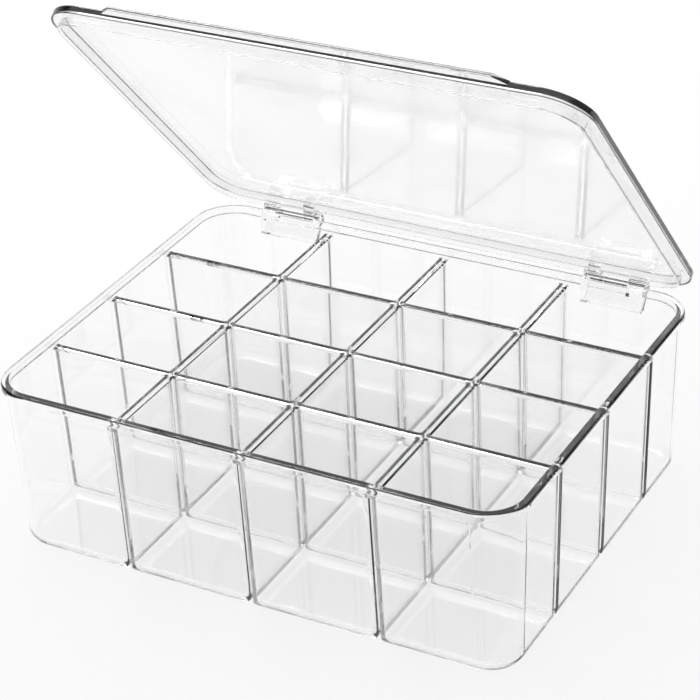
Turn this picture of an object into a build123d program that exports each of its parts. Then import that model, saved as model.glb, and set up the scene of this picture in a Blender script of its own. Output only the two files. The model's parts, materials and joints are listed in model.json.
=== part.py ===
from build123d import *
import math
import os

os.makedirs("parts", exist_ok=True)

# Sock organizer box in clear plastic: a tray of sixteen cups, a lid and two steel hinge pins.
# Sizes are in millimetres. Lengths of the tray and lid are given with the lid shut.

# Tray outline
rim_width = 320.0
rim_depth = 250.0
tray_height = 104.0
rim_corner = 25.0

# Rim band around the top of the tray
rim_band_height = 5.0
rim_overhang = 2.4
rim_outer_round = 1.5
rim_inner_round = 0.6

# Cups
columns = 4
rows = 4
wall = 2.4
floor_thickness = 3.0
wall_draft = 3.2
cup_draft = 0.2
slot_at_base = 1.4
divider_drop = 5.8
web_thickness = 2.6
cup_edge_round = 2.5
cup_base_round = 7.5
cell_edge_round = 1.0
divider_round = 2.0
rim_lap = 0.4

# Lid
lid_gap = 0.3
lid_band_height = 5.2
panel_thickness = 2.0
skirt_height = 4.2
skirt_thickness = 1.8
skirt_clearance = 0.3
lid_top_round = 1.5
lid_small_round = 0.5
panel_inner_round = 0.8
lid_open_angle = 48.7

# Finger lip on the lid's front edge
finger_lip_length = 238.0
finger_lip_slope = 7.5
finger_lip_reach = 6.5
finger_lip_thickness = 2.4
finger_lip_round = 0.8

# Hinges
hinge_from_end = 52.5
hinge_width = 38.0
hinge_rib = 2.2
hinge_axis_behind_rim = 4.0
hinge_axis_below_rim = 1.0
hinge_eye_radius = 3.0
hinge_rear_gap = 0.4
hinge_web = 1.6
hinge_web_above_axis = 0.5
bracket_height = 15.8
bracket_foot = 4.0
bracket_slope_height = 10.7
bracket_root = 0.6
knuckle_width = 7.6
arm_width = 7.2
arm_side_gap = 0.5
arm_root = 1.0
arm_lift = 0.3
arm_thickness = 3.2
arm_shoulder_angle = 30.0
rim_notch_depth = 1.2
pin_diameter = 2.0
pin_clearance = 0.06
pin_inset = 0.5

# Places worked out from the sizes above
divider_top = tray_height - divider_drop
wall_width = rim_width - 2 * rim_overhang
wall_depth = rim_depth - 2 * rim_overhang
wall_corner = rim_corner - rim_overhang
cell_base_round = cup_base_round - wall
pitch_x = (wall_width - wall_draft + slot_at_base) / columns
pitch_y = (wall_depth - wall_draft + slot_at_base) / rows
opening_width = wall_width - 2 * wall
opening_depth = wall_depth - 2 * wall
opening_corner = wall_corner - wall
rim_back = rim_depth / 2
wall_back = wall_depth / 2
axis_y = rim_back + hinge_axis_behind_rim
axis_z = tray_height - hinge_axis_below_rim
rear_web_front = axis_y + hinge_eye_radius + hinge_rear_gap
rear_reach = rear_web_front + hinge_web
footprint_shift = (rear_reach - rim_back) / 2
lid_bottom = tray_height + lid_gap
lid_top = lid_bottom + lid_band_height
panel_bottom = lid_top - panel_thickness
skirt_bottom = lid_bottom - skirt_height
skirt_width = opening_width - 2 * skirt_clearance
skirt_depth = opening_depth - 2 * skirt_clearance
skirt_corner = opening_corner - skirt_clearance
bracket_bottom = tray_height - bracket_height


def rounded_prism(width, depth, corner, bottom, top):
    """Upright block with rounded corners, centred on the tray."""
    outline = RectangleRounded(width, depth, corner)
    return Pos(0, 0, bottom) * extrude(outline, top - bottom)


def level_edges(solid, height):
    """Edges of a solid that lie at one height."""
    return solid.edges().filter_by_position(Axis.Z, height - 0.01, height + 0.01)


def within(edge, width, depth, margin):
    """Whether an edge lies inside a centred rectangle that is grown by a margin on each side."""
    box = edge.bounding_box()
    reach_x = max(abs(box.min.X), abs(box.max.X))
    reach_y = max(abs(box.min.Y), abs(box.max.Y))
    return reach_x < width / 2 + margin and reach_y < depth / 2 + margin


def cell_block(bottom, inset):
    """Drafted block over the whole tray, from a height up to the divider tops, moved in by an inset."""
    in_draft = wall_draft * (divider_top - bottom) / divider_top + inset
    outline = RectangleRounded(wall_width - 2 * in_draft, wall_depth - 2 * in_draft, wall_corner - in_draft)
    angle = math.degrees(math.atan(wall_draft / divider_top))
    return Pos(0, 0, bottom) * extrude(outline, divider_top - bottom, taper=-angle)


def slot_wedge(length, top, inset):
    """Wedge along X that parts two rows of cups, wider at the base, with an inset on each side."""
    half_low = slot_at_base / 2 + inset + cup_draft / divider_top
    half_high = slot_at_base / 2 + inset - cup_draft * top / divider_top
    section = make_face(Polyline((0, -half_low, -1), (0, half_low, -1), (0, half_high, top),
                                 (0, -half_high, top), close=True))
    return Pos(-length / 2, 0, 0) * extrude(section, length, dir=(1, 0, 0))


def slot_wedges(top, inset):
    """All the wedges between columns and between rows."""
    along_x = slot_wedge(rim_width, top, inset)
    along_y = Rot(0, 0, 90) * slot_wedge(rim_depth, top, inset)
    wedges = []
    for index in range(1, rows):
        wedges.append(Pos(0, (index - rows / 2) * pitch_y, 0) * along_x)
    for index in range(1, columns):
        wedges.append(Pos((index - columns / 2) * pitch_x, 0, 0) * along_y)
    return wedges


def rising_edges(solid, bottom, top):
    """Straight sharp edges that climb from one height to another."""
    edges = solid.edges().filter_by(GeomType.LINE)
    edges = [e for e in edges if e.bounding_box().min.Z < bottom + 0.01]
    edges = [e for e in edges if e.bounding_box().max.Z > top - 0.01]
    return [e for e in edges if is_sharp(e)]


def is_sharp(edge):
    """Whether an edge is away from the smooth lines where the tray's corners start."""
    middle = edge.center()
    from_side = wall_width / 2 - abs(middle.X)
    from_back = wall_depth / 2 - abs(middle.Y)
    return from_side > wall_corner + slot_at_base or from_back > wall_corner + slot_at_base


def cut_cups(bottom, top, slot_top, inset, edge_round, base_round):
    """Blocks of all the cups, parted by the slots, with rounded bases and eased rising edges."""
    sharp = cell_block(bottom, inset).cut(*slot_wedges(slot_top, inset))
    eased = fillet(rising_edges(sharp, bottom, top), edge_round)
    rounded = fillet(level_edges(sharp, bottom), base_round)
    return rounded & eased


def make_rim():
    """Rim band and the short wall under it, flush inside with the cups' outer walls."""
    foot = divider_top - divider_round - rim_lap
    band = rounded_prism(rim_width, rim_depth, rim_corner, tray_height - rim_band_height, tray_height)
    band = fillet(band.edges().filter_by(Axis.Z, reverse=True), rim_outer_round)
    web = rounded_prism(wall_width, wall_depth, wall_corner, divider_top, tray_height - rim_outer_round)
    lap = cell_block(foot, (wall - divider_round) / 2)
    opening = rounded_prism(opening_width, opening_depth, opening_corner, divider_top, tray_height + 1)
    rim = band + web + lap - opening - cell_block(foot, wall)
    lip = [e for e in level_edges(rim, tray_height) if within(e, opening_width, opening_depth, 0.1)]
    return fillet(lip, rim_inner_round)


def hinge_profile(points):
    """Flat outline in the plane across the hinge axis, from points given as depth and height."""
    return make_face(Polyline(*[(0, y, z) for y, z in points], close=True))


def hinge_slab(face, inner, outer):
    """Outline thickened along the hinge axis between two distances from the tray's middle."""
    return Pos(inner, 0, 0) * extrude(face, outer - inner, dir=(1, 0, 0))


def hinge_barrel(radius, inner, outer):
    """Round bar about the hinge axis between two distances from the tray's middle."""
    bar = Plane.YZ * Circle(radius)
    return Pos(inner, axis_y, axis_z) * extrude(bar, outer - inner, dir=(1, 0, 0))


def hinge_span():
    """Inner and outer end of the right-hand hinge, as distances from the tray's middle."""
    middle = rim_width / 2 - hinge_from_end
    return middle - hinge_width / 2, middle + hinge_width / 2


def make_bracket():
    """Right-hand hinge bracket: two ribs with eyes, a rear web, a foot pad and a fixed knuckle."""
    inner, outer = hinge_span()
    rib_inner = inner + hinge_rib
    knuckle_inner = outer - hinge_rib - knuckle_width
    root_low = wall_back - wall_draft * bracket_height / tray_height - bracket_root
    root_high = (opening_depth / 2 + wall_back) / 2
    join_bottom = divider_top - bracket_root
    join_top = tray_height - rim_outer_round
    eye_front = axis_y - hinge_eye_radius
    web_top = axis_z + hinge_web_above_axis
    web_middle = rear_web_front + hinge_web / 2
    slope_top = bracket_bottom + bracket_slope_height
    slope_foot = wall_back + bracket_foot
    rib = hinge_profile([
        (root_low, bracket_bottom), (slope_foot, bracket_bottom), (rear_reach, slope_top),
        (rear_reach, web_top), (axis_y, web_top), (eye_front, axis_z), (root_high, join_top),
        (root_high, join_bottom), (root_low, join_bottom)])
    knuckle = hinge_profile([
        (root_high, join_bottom), (web_middle, join_bottom), (web_middle, web_top),
        (axis_y, web_top), (eye_front, axis_z), (root_high, join_top)])
    web = hinge_profile([
        (rear_reach, web_top), (rear_web_front, web_top), (rear_web_front, slope_top),
        (slope_foot - hinge_web, bracket_bottom), (slope_foot, bracket_bottom),
        (rear_reach, slope_top)])
    foot = hinge_profile([
        (root_low, bracket_bottom), (slope_foot, bracket_bottom),
        (slope_foot, bracket_bottom + hinge_web), (root_low, bracket_bottom + hinge_web)])
    bracket = hinge_slab(rib, inner, rib_inner) + hinge_slab(rib, outer - hinge_rib, outer)
    bracket += hinge_slab(web, inner, outer) + hinge_slab(foot, inner, outer)
    bracket += hinge_slab(knuckle, knuckle_inner, outer)
    bracket += hinge_barrel(hinge_eye_radius, inner, rib_inner)
    bracket += hinge_barrel(hinge_eye_radius, knuckle_inner, outer)
    return bracket - hinge_barrel(pin_diameter / 2, inner - 1, outer + 1)


def rim_notch():
    """Shallow relief in the back of the rim, where the lid's arm and the pin pass."""
    inner, outer = hinge_span()
    start = inner + hinge_rib
    length = outer - hinge_rib - knuckle_width - start
    block = Box(length, rim_notch_depth * 2, rim_band_height + 2)
    return Pos(start + length / 2, rim_back, tray_height - rim_band_height / 2) * block


def make_tray():
    """Tray moulding: cups joined by the webs on top of the dividers, rim and hinge brackets."""
    web_bottom = divider_top - web_thickness
    cups = cut_cups(0, web_bottom, web_bottom, 0, cup_edge_round, cup_base_round)
    cells = cut_cups(floor_thickness, divider_top, divider_top + 1, wall, cell_edge_round, cell_base_round)
    tray = cups - cells
    level = level_edges(tray, divider_top)
    mouths = [e for e in level if within(e, opening_width, opening_depth, 0.1)]
    tray = fillet(mouths, divider_round) + make_rim()
    bracket = make_bracket()
    notch = rim_notch()
    tray = tray - notch - mirror(notch, Plane.YZ)
    return tray + bracket + mirror(bracket, Plane.YZ)


def make_finger_lip():
    """Thumb lip along the front edge of the lid, with sloping ends."""
    half = finger_lip_length / 2
    edge = -rim_depth / 2
    tip = edge - finger_lip_reach
    root = edge + lid_top_round
    outline = Polyline((-half, root), (-half, edge), (-half + finger_lip_slope, tip),
                       (half - finger_lip_slope, tip), (half, edge), (half, root), close=True)
    lip = extrude(make_face(outline), finger_lip_thickness)
    front = lip.edges().filter_by(Axis.X).sort_by(Axis.Y)[:2]
    lip = fillet(front, finger_lip_round)
    return Pos(0, 0, lid_top - finger_lip_thickness) * lip


def make_arm():
    """Right-hand hinge arm of the lid, from the back of its band to an eye around the pin."""
    inner = hinge_span()[0] + hinge_rib + arm_side_gap
    outer = inner + arm_width
    root = rim_back - arm_root
    underside = lid_bottom + arm_lift
    topside = underside + arm_thickness
    shoulder = math.radians(arm_shoulder_angle)
    shoulder_y = axis_y - hinge_eye_radius * math.sin(shoulder)
    shoulder_z = axis_z + hinge_eye_radius * math.cos(shoulder)
    side = hinge_profile([
        (root, underside), (axis_y - hinge_eye_radius, axis_z), (axis_y, axis_z),
        (shoulder_y, shoulder_z), (rim_back, topside), (root, topside)])
    arm = hinge_slab(side, inner, outer)
    return arm + hinge_barrel(hinge_eye_radius, inner, outer)


def make_lid_shut():
    """Lid moulding in its shut place: band over the rim, skirt inside the rim, panel across."""
    band = rounded_prism(rim_width, rim_depth, rim_corner, lid_bottom, lid_top)
    band = fillet(level_edges(band, lid_top), lid_top_round)
    band = fillet(level_edges(band, lid_bottom), lid_small_round)
    skirt = rounded_prism(skirt_width, skirt_depth, skirt_corner, skirt_bottom, lid_bottom + 1)
    skirt = fillet(level_edges(skirt, skirt_bottom), lid_small_round)
    hollow = rounded_prism(skirt_width - 2 * skirt_thickness, skirt_depth - 2 * skirt_thickness,
                           skirt_corner - skirt_thickness, skirt_bottom - 1, panel_bottom)
    hollow = fillet(level_edges(hollow, panel_bottom), panel_inner_round)
    arm = make_arm()
    lid = band + skirt - hollow + make_finger_lip() + arm + mirror(arm, Plane.YZ)
    inner, outer = hinge_span()
    bore = hinge_barrel(pin_diameter / 2 + pin_clearance, inner, outer)
    return lid - bore - mirror(bore, Plane.YZ)


def make_pin():
    """Right-hand hinge pin: a plain steel rod pressed into the bracket's eyes."""
    inner, outer = hinge_span()
    return hinge_barrel(pin_diameter / 2, inner + pin_inset, outer - pin_inset)


def open_lid(lid):
    """Lid swung up about the hinge axis from shut to where it stands at rest."""
    hinge = Axis((0, axis_y, axis_z), (1, 0, 0))
    return lid.rotate(hinge, -lid_open_angle)


pin = make_pin()
nodes = {
    "tray": make_tray(),
    "lid": open_lid(make_lid_shut()),
    "hinge_pin_right": pin,
    "hinge_pin_left": mirror(pin, Plane.YZ),
}

for name, shape in nodes.items():
    placed = Pos(0, -footprint_shift, 0) * shape
    export_step(placed, f"parts/{name}.step")
    box = placed.bounding_box()
    print(name, len(placed.solids()), round(placed.volume), box.min, box.max)

print("hinge axis", axis_y - footprint_shift, axis_z)
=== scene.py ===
import bpy
import json
import math
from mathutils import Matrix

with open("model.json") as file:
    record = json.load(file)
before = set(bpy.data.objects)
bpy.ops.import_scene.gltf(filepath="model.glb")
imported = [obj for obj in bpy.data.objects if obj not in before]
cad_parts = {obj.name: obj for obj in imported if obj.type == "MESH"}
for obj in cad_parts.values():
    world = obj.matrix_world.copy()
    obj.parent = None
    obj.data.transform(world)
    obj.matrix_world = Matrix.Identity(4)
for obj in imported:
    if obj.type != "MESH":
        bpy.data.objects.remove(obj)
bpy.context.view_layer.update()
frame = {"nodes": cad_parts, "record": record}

# Tray. One clear polystyrene moulding: sixteen drafted cups hang from the webs on top of the dividers,
# inside a thick rim band, with two hinge brackets on the back wall. Polished tool faces leave it glossy,
# with a faint ripple where the plastic flowed, a little haze, and fine rubbing marks from use.
tray = frame["nodes"]["tray"]


def new_material(name):
    """Node material that starts empty, with its list of nodes and its list of links."""
    material = bpy.data.materials.new(name)
    material.use_nodes = True
    material.node_tree.nodes.clear()
    return material, material.node_tree.nodes, material.node_tree.links


def make_moulding_group():
    """Surface of a polished moulding: colour, roughness and height that drift over the plastic."""
    group = bpy.data.node_groups.new("polished_moulding", "ShaderNodeTree")
    face = group.interface
    face.new_socket("Flow Scale", in_out="INPUT", socket_type="NodeSocketFloat")
    face.new_socket("Haze", in_out="INPUT", socket_type="NodeSocketFloat")
    face.new_socket("Light Tint", in_out="INPUT", socket_type="NodeSocketColor")
    face.new_socket("Deep Tint", in_out="INPUT", socket_type="NodeSocketColor")
    face.new_socket("Color", in_out="OUTPUT", socket_type="NodeSocketColor")
    face.new_socket("Roughness", in_out="OUTPUT", socket_type="NodeSocketFloat")
    face.new_socket("Height", in_out="OUTPUT", socket_type="NodeSocketFloat")
    nodes, links = group.nodes, group.links
    given = nodes.new("NodeGroupInput")
    result = nodes.new("NodeGroupOutput")
    place = nodes.new("ShaderNodeTexCoord")

    # Slow ripple of the flowing plastic, drawn out along the height of the walls
    stretch = nodes.new("ShaderNodeMapping")
    stretch.inputs["Scale"].default_value = (1.0, 1.0, 0.45)
    links.new(place.outputs["Object"], stretch.inputs["Vector"])
    ripple = nodes.new("ShaderNodeTexNoise")
    ripple.inputs["Detail"].default_value = 1.0
    links.new(stretch.outputs["Vector"], ripple.inputs["Vector"])
    links.new(given.outputs["Flow Scale"], ripple.inputs["Scale"])
    links.new(ripple.outputs["Fac"], result.inputs["Height"])

    # Haze comes in soft clouds, with fine rubbing marks over it
    cloud = nodes.new("ShaderNodeTexNoise")
    cloud.inputs["Scale"].default_value = 22.0
    cloud.inputs["Detail"].default_value = 3.0
    links.new(place.outputs["Object"], cloud.inputs["Vector"])
    rub_place = nodes.new("ShaderNodeMapping")
    rub_place.inputs["Scale"].default_value = (1.0, 14.0, 5.0)
    rub_place.inputs["Rotation"].default_value = (0.35, 0.2, 0.6)
    links.new(place.outputs["Object"], rub_place.inputs["Vector"])
    rub = nodes.new("ShaderNodeTexNoise")
    rub.inputs["Scale"].default_value = 60.0
    rub.inputs["Detail"].default_value = 2.0
    links.new(rub_place.outputs["Vector"], rub.inputs["Vector"])
    rub_mark = nodes.new("ShaderNodeMapRange")
    rub_mark.inputs["From Min"].default_value = 0.62
    rub_mark.inputs["From Max"].default_value = 0.78
    links.new(rub.outputs["Fac"], rub_mark.inputs["Value"])
    rub_share = 0.5
    both = nodes.new("ShaderNodeMath")
    both.operation = "MULTIPLY_ADD"
    both.inputs[1].default_value = rub_share
    links.new(rub_mark.outputs["Result"], both.inputs[0])
    links.new(cloud.outputs["Fac"], both.inputs[2])
    haze = nodes.new("ShaderNodeMath")
    haze.operation = "MULTIPLY"
    links.new(both.outputs["Value"], haze.inputs[0])
    links.new(given.outputs["Haze"], haze.inputs[1])
    links.new(haze.outputs["Value"], result.inputs["Roughness"])

    # The plastic is a shade deeper where the clouds are dense
    tint = nodes.new("ShaderNodeMix")
    tint.data_type = "RGBA"
    links.new(cloud.outputs["Fac"], tint.inputs["Factor"])
    links.new(given.outputs["Light Tint"], tint.inputs["A"])
    links.new(given.outputs["Deep Tint"], tint.inputs["B"])
    links.new(tint.outputs["Result"], result.inputs["Color"])
    return group


moulding_group = make_moulding_group()
polystyrene_ior = 1.57


def clear_plastic(name, flow_scale, haze, light_tint, deep_tint, ripple_depth, shade, gloss, grey_depth):
    """Clear moulded plastic that bends light on its way to the eye and greys over a long way through it."""
    material, nodes, links = new_material(name)
    surface = nodes.new("ShaderNodeGroup")
    surface.name = "surface"
    surface.node_tree = moulding_group
    surface.inputs["Flow Scale"].default_value = flow_scale
    surface.inputs["Haze"].default_value = haze
    surface.inputs["Light Tint"].default_value = light_tint
    surface.inputs["Deep Tint"].default_value = deep_tint
    plastic = nodes.new("ShaderNodeBsdfPrincipled")
    plastic.inputs["Transmission Weight"].default_value = 1.0
    plastic.inputs["Metallic"].default_value = 0.0
    plastic.inputs["IOR"].default_value = polystyrene_ior
    plastic.inputs["Specular IOR Level"].default_value = gloss
    links.new(surface.outputs["Color"], plastic.inputs["Base Color"])
    links.new(surface.outputs["Roughness"], plastic.inputs["Roughness"])
    bump = nodes.new("ShaderNodeBump")
    bump.inputs["Strength"].default_value = 1.0
    bump.inputs["Distance"].default_value = ripple_depth
    links.new(surface.outputs["Height"], bump.inputs["Height"])
    links.new(bump.outputs["Normal"], plastic.inputs["Normal"])

    # Room light on its way to other surfaces passes through, a little weaker at each face
    passing = nodes.new("ShaderNodeBsdfTransparent")
    passing.inputs["Color"].default_value = (shade, shade, shade, 1.0)
    ray = nodes.new("ShaderNodeLightPath")
    soft = nodes.new("ShaderNodeMath")
    soft.operation = "MAXIMUM"
    links.new(ray.outputs["Is Shadow Ray"], soft.inputs[0])
    links.new(ray.outputs["Is Diffuse Ray"], soft.inputs[1])
    mix = nodes.new("ShaderNodeMixShader")
    links.new(soft.outputs["Value"], mix.inputs["Fac"])
    links.new(plastic.outputs["BSDF"], mix.inputs[1])
    links.new(passing.outputs["BSDF"], mix.inputs[2])
    depth = nodes.new("ShaderNodeVolumeAbsorption")
    depth.inputs["Color"].default_value = (0.0, 0.0, 0.0, 1.0)
    depth.inputs["Density"].default_value = grey_depth
    output = nodes.new("ShaderNodeOutputMaterial")
    links.new(mix.outputs["Shader"], output.inputs["Surface"])
    links.new(depth.outputs["Volume"], output.inputs["Volume"])
    return material


def dress(node, material):
    """Gives a piece its one material."""
    node.data.materials.clear()
    node.data.materials.append(material)


tray_plastic = clear_plastic("tray clear polystyrene", flow_scale=26.0, haze=0.03,
                             light_tint=(1.0, 1.0, 1.0, 1.0), deep_tint=(0.995, 0.996, 0.997, 1.0),
                             ripple_depth=0.00006, shade=0.965, gloss=0.5, grey_depth=2.0)
dress(tray, tray_plastic)

# Lid. A second clear moulding that swings on the pins: a flat panel with a band around it, a skirt that
# drops inside the rim, a finger lip in front and two short arms with eyes behind. It is the same plastic
# as the tray. Stacking and wiping have left a soft haze on the panel, while its band stays polished.
lid = frame["nodes"]["lid"]
lid_hinge = frame["record"]["behaviour"]["joints"][0]
lid_open_angle = -lid_hinge["range_deg"][0]
panel_middle_from_hinge = 0.129
panel_half_width = 0.152
panel_half_depth = 0.117
panel_edge_fade = 0.004
band_haze = 0.02
panel_haze = 0.14


def add_panel_haze(material):
    """Raises the haze over the lid's flat panel and leaves its band, skirt, lip and arms polished."""
    nodes, links = material.node_tree.nodes, material.node_tree.links
    place = nodes.new("ShaderNodeTexCoord")
    from_hinge = nodes.new("ShaderNodeVectorMath")
    from_hinge.operation = "SUBTRACT"
    from_hinge.inputs[1].default_value = lid_hinge["pos_m"]
    links.new(place.outputs["Object"], from_hinge.inputs[0])
    shut = nodes.new("ShaderNodeMapping")
    shut.inputs["Rotation"].default_value = (math.radians(lid_open_angle), 0.0, 0.0)
    shut.inputs["Location"].default_value = (0.0, panel_middle_from_hinge, 0.0)
    links.new(from_hinge.outputs["Vector"], shut.inputs["Vector"])
    split = nodes.new("ShaderNodeSeparateXYZ")
    links.new(shut.outputs["Vector"], split.inputs["Vector"])
    inside = []
    for side, reach in (("X", panel_half_width), ("Y", panel_half_depth)):
        distance = nodes.new("ShaderNodeMath")
        distance.operation = "ABSOLUTE"
        links.new(split.outputs[side], distance.inputs[0])
        fade = nodes.new("ShaderNodeMapRange")
        fade.interpolation_type = "SMOOTHSTEP"
        fade.inputs["From Min"].default_value = reach
        fade.inputs["From Max"].default_value = reach - panel_edge_fade
        links.new(distance.outputs["Value"], fade.inputs["Value"])
        inside.append(fade)
    panel = nodes.new("ShaderNodeMath")
    panel.operation = "MULTIPLY"
    links.new(inside[0].outputs["Result"], panel.inputs[0])
    links.new(inside[1].outputs["Result"], panel.inputs[1])
    haze = nodes.new("ShaderNodeMapRange")
    haze.inputs["To Min"].default_value = band_haze
    haze.inputs["To Max"].default_value = panel_haze
    links.new(panel.outputs["Value"], haze.inputs["Value"])
    links.new(haze.outputs["Result"], nodes["surface"].inputs["Haze"])


lid_plastic = clear_plastic("lid clear polystyrene", flow_scale=14.0, haze=band_haze,
                            light_tint=(1.0, 1.0, 1.0, 1.0), deep_tint=(0.996, 0.997, 0.998, 1.0),
                            ripple_depth=0.00004, shade=0.975, gloss=0.3, grey_depth=14.0)
add_panel_haze(lid_plastic)
dress(lid, lid_plastic)

# Hinge pins. Two short rods cut from bright drawn steel wire and pressed through the bracket's eyes.
# The drawing die leaves fine lines along each rod.
pin_length_direction = (1.0, 60.0, 60.0)


def make_drawn_steel():
    """Bright drawn wire with fine lines along it and a few darker oily spots."""
    material, nodes, links = new_material("drawn steel wire")
    place = nodes.new("ShaderNodeTexCoord")
    stretch = nodes.new("ShaderNodeMapping")
    stretch.inputs["Scale"].default_value = pin_length_direction
    links.new(place.outputs["Object"], stretch.inputs["Vector"])
    lines = nodes.new("ShaderNodeTexNoise")
    lines.inputs["Scale"].default_value = 90.0
    lines.inputs["Detail"].default_value = 3.0
    links.new(stretch.outputs["Vector"], lines.inputs["Vector"])
    rough = nodes.new("ShaderNodeMapRange")
    rough.inputs["To Min"].default_value = 0.16
    rough.inputs["To Max"].default_value = 0.34
    links.new(lines.outputs["Fac"], rough.inputs["Value"])
    spots = nodes.new("ShaderNodeTexNoise")
    spots.inputs["Scale"].default_value = 420.0
    links.new(place.outputs["Object"], spots.inputs["Vector"])
    colour = nodes.new("ShaderNodeMix")
    colour.data_type = "RGBA"
    colour.inputs["A"].default_value = (0.60, 0.60, 0.61, 1.0)
    colour.inputs["B"].default_value = (0.44, 0.44, 0.45, 1.0)
    links.new(spots.outputs["Fac"], colour.inputs["Factor"])
    steel = nodes.new("ShaderNodeBsdfPrincipled")
    steel.inputs["Metallic"].default_value = 1.0
    links.new(colour.outputs["Result"], steel.inputs["Base Color"])
    links.new(rough.outputs["Result"], steel.inputs["Roughness"])
    bump = nodes.new("ShaderNodeBump")
    bump.inputs["Strength"].default_value = 0.4
    bump.inputs["Distance"].default_value = 0.00002
    links.new(lines.outputs["Fac"], bump.inputs["Height"])
    links.new(bump.outputs["Normal"], steel.inputs["Normal"])
    output = nodes.new("ShaderNodeOutputMaterial")
    links.new(steel.outputs["BSDF"], output.inputs["Surface"])
    return material


drawn_steel = make_drawn_steel()
for side in ("left", "right"):
    dress(frame["nodes"]["hinge_pin_" + side], drawn_steel)

# Table. A wide sheet of matt white board under the box, with a hair of air below the cups. The eye, the
# plastic and the steel see it close to white, and it keeps the box's soft shadow.
table_drop = 0.0003
table_reach = 4.0
board_colour = (0.96, 0.96, 0.96, 1.0)
own_white_share = 0.6
table_mesh = bpy.data.meshes.new("table_board")
table_mesh.from_pydata([(-table_reach, -table_reach, -table_drop), (table_reach, -table_reach, -table_drop),
                        (table_reach, table_reach, -table_drop), (-table_reach, table_reach, -table_drop)],
                       [], [(0, 1, 2, 3)])
table = bpy.data.objects.new("table_board", table_mesh)
bpy.context.scene.collection.objects.link(table)


def make_board():
    """Matt white board: part its own white, part the light that falls on it."""
    material, nodes, links = new_material("matt white board")
    board = nodes.new("ShaderNodeBsdfDiffuse")
    board.inputs["Color"].default_value = board_colour
    white = nodes.new("ShaderNodeEmission")
    white.inputs["Color"].default_value = (1.0, 1.0, 1.0, 1.0)
    white.inputs["Strength"].default_value = 1.0
    ray = nodes.new("ShaderNodeLightPath")
    first = nodes.new("ShaderNodeMath")
    first.operation = "MAXIMUM"
    links.new(ray.outputs["Is Camera Ray"], first.inputs[0])
    links.new(ray.outputs["Is Glossy Ray"], first.inputs[1])
    seen = nodes.new("ShaderNodeMath")
    seen.operation = "MAXIMUM"
    links.new(first.outputs["Value"], seen.inputs[0])
    links.new(ray.outputs["Is Transmission Ray"], seen.inputs[1])
    share = nodes.new("ShaderNodeMath")
    share.operation = "MULTIPLY"
    share.inputs[1].default_value = own_white_share
    links.new(seen.outputs["Value"], share.inputs[0])
    mix = nodes.new("ShaderNodeMixShader")
    links.new(share.outputs["Value"], mix.inputs["Fac"])
    links.new(board.outputs["BSDF"], mix.inputs[1])
    links.new(white.outputs["Emission"], mix.inputs[2])
    output = nodes.new("ShaderNodeOutputMaterial")
    links.new(mix.outputs["Shader"], output.inputs["Surface"])
    return material


table_mesh.materials.append(make_board())

# Studio. A room with a bright ceiling and a white wall behind the box. The other walls are dark, which adds
# a little to the grey lines in the edges of the clear plastic.
towards_camera = (0.497, -0.868, 0.0)
dark_wall = (0.06, 0.06, 0.065, 1.0)
room = bpy.data.worlds.new("white studio")
bpy.context.scene.world = room
room.use_nodes = True
nodes, links = room.node_tree.nodes, room.node_tree.links
nodes.clear()
towards = nodes.new("ShaderNodeTexCoord")
dark_side = nodes.new("ShaderNodeVectorMath")
dark_side.operation = "DOT_PRODUCT"
dark_side.inputs[1].default_value = towards_camera
links.new(towards.outputs["Generated"], dark_side.inputs[0])
side_fade = nodes.new("ShaderNodeMapRange")
side_fade.interpolation_type = "SMOOTHSTEP"
side_fade.inputs["From Min"].default_value = -0.9
side_fade.inputs["From Max"].default_value = -0.5
links.new(dark_side.outputs["Value"], side_fade.inputs["Value"])
split = nodes.new("ShaderNodeSeparateXYZ")
links.new(towards.outputs["Generated"], split.inputs["Vector"])
ceiling_fade = nodes.new("ShaderNodeMapRange")
ceiling_fade.interpolation_type = "SMOOTHSTEP"
ceiling_fade.inputs["From Min"].default_value = 0.75
ceiling_fade.inputs["From Max"].default_value = 0.55
links.new(split.outputs["Z"], ceiling_fade.inputs["Value"])
darkness = nodes.new("ShaderNodeMath")
darkness.operation = "MULTIPLY"
links.new(side_fade.outputs["Result"], darkness.inputs[0])
links.new(ceiling_fade.outputs["Result"], darkness.inputs[1])
walls = nodes.new("ShaderNodeMix")
walls.data_type = "RGBA"
walls.inputs["A"].default_value = (1.0, 1.0, 1.0, 1.0)
walls.inputs["B"].default_value = dark_wall
links.new(darkness.outputs["Value"], walls.inputs["Factor"])
ray = nodes.new("ShaderNodeLightPath")
through = nodes.new("ShaderNodeMath")
through.operation = "MAXIMUM"
links.new(ray.outputs["Is Glossy Ray"], through.inputs[0])
links.new(ray.outputs["Is Transmission Ray"], through.inputs[1])
room_light = nodes.new("ShaderNodeBackground")
room_light.inputs["Color"].default_value = (1.0, 1.0, 1.0, 1.0)
room_light.inputs["Strength"].default_value = 0.75
room_seen = nodes.new("ShaderNodeBackground")
links.new(walls.outputs["Result"], room_seen.inputs["Color"])
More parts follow.
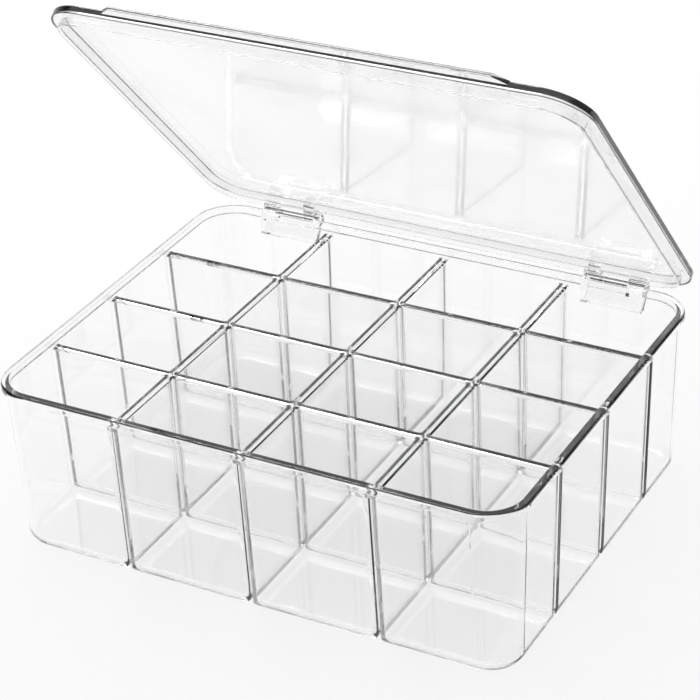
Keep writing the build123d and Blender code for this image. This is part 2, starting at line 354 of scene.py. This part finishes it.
backdrop = nodes.new("ShaderNodeBackground")
backdrop.inputs["Color"].default_value = (1.0, 1.0, 1.0, 1.0)
in_plastic = nodes.new("ShaderNodeMixShader")
links.new(through.outputs["Value"], in_plastic.inputs["Fac"])
links.new(room_light.outputs["Background"], in_plastic.inputs[1])
links.new(room_seen.outputs["Background"], in_plastic.inputs[2])
to_eye = nodes.new("ShaderNodeMixShader")
links.new(ray.outputs["Is Camera Ray"], to_eye.inputs["Fac"])
links.new(in_plastic.outputs["Shader"], to_eye.inputs[1])
links.new(backdrop.outputs["Background"], to_eye.inputs[2])
room_output = nodes.new("ShaderNodeOutputWorld")
links.new(to_eye.outputs["Shader"], room_output.inputs["Surface"])

# Key light. One broad soft lamp above and behind the left side, which gives the box its faint shadow
# towards the front right.
key_data = bpy.data.lights.new("key_lamp", "AREA")
key_data.shape = "DISK"
key_data.size = 0.9
key_data.energy = 14.0
key = bpy.data.objects.new("key_lamp", key_data)
key.location = (-0.9, 0.9, 1.7)
key.rotation_euler = (math.radians(-36.0), math.radians(-24.0), 0.0)
bpy.context.scene.collection.objects.link(key)

# Light that crosses many walls of the box needs many turns before it is given up. Reflections inside a rim
# or divider are given up after the glossy turns, which draws most of the dark lines there.
cycles = bpy.context.scene.cycles
cycles.max_bounces = 40
cycles.transmission_bounces = 40
cycles.glossy_bounces = 22
cycles.diffuse_bounces = 3
cycles.transparent_max_bounces = 64
cycles.caustics_reflective = False
cycles.caustics_refractive = False

# Camera. A long lens above and to the right of the front, tilted a few degrees to one side.
lens_data = bpy.data.cameras.new("studio_camera")
lens_data.sensor_width = 36.0
lens_data.lens = 127.984
lens_data.clip_start = 0.05
lens_data.clip_end = 50.0
camera = bpy.data.objects.new("studio_camera", lens_data)
camera.location = (0.59978, -1.04729, 0.80078)
camera.rotation_euler = (math.radians(59.7103), math.radians(2.5980), math.radians(28.3141))
bpy.context.scene.collection.objects.link(camera)
bpy.context.scene.camera = camera
bpy.context.scene.view_settings.view_transform = "Standard"
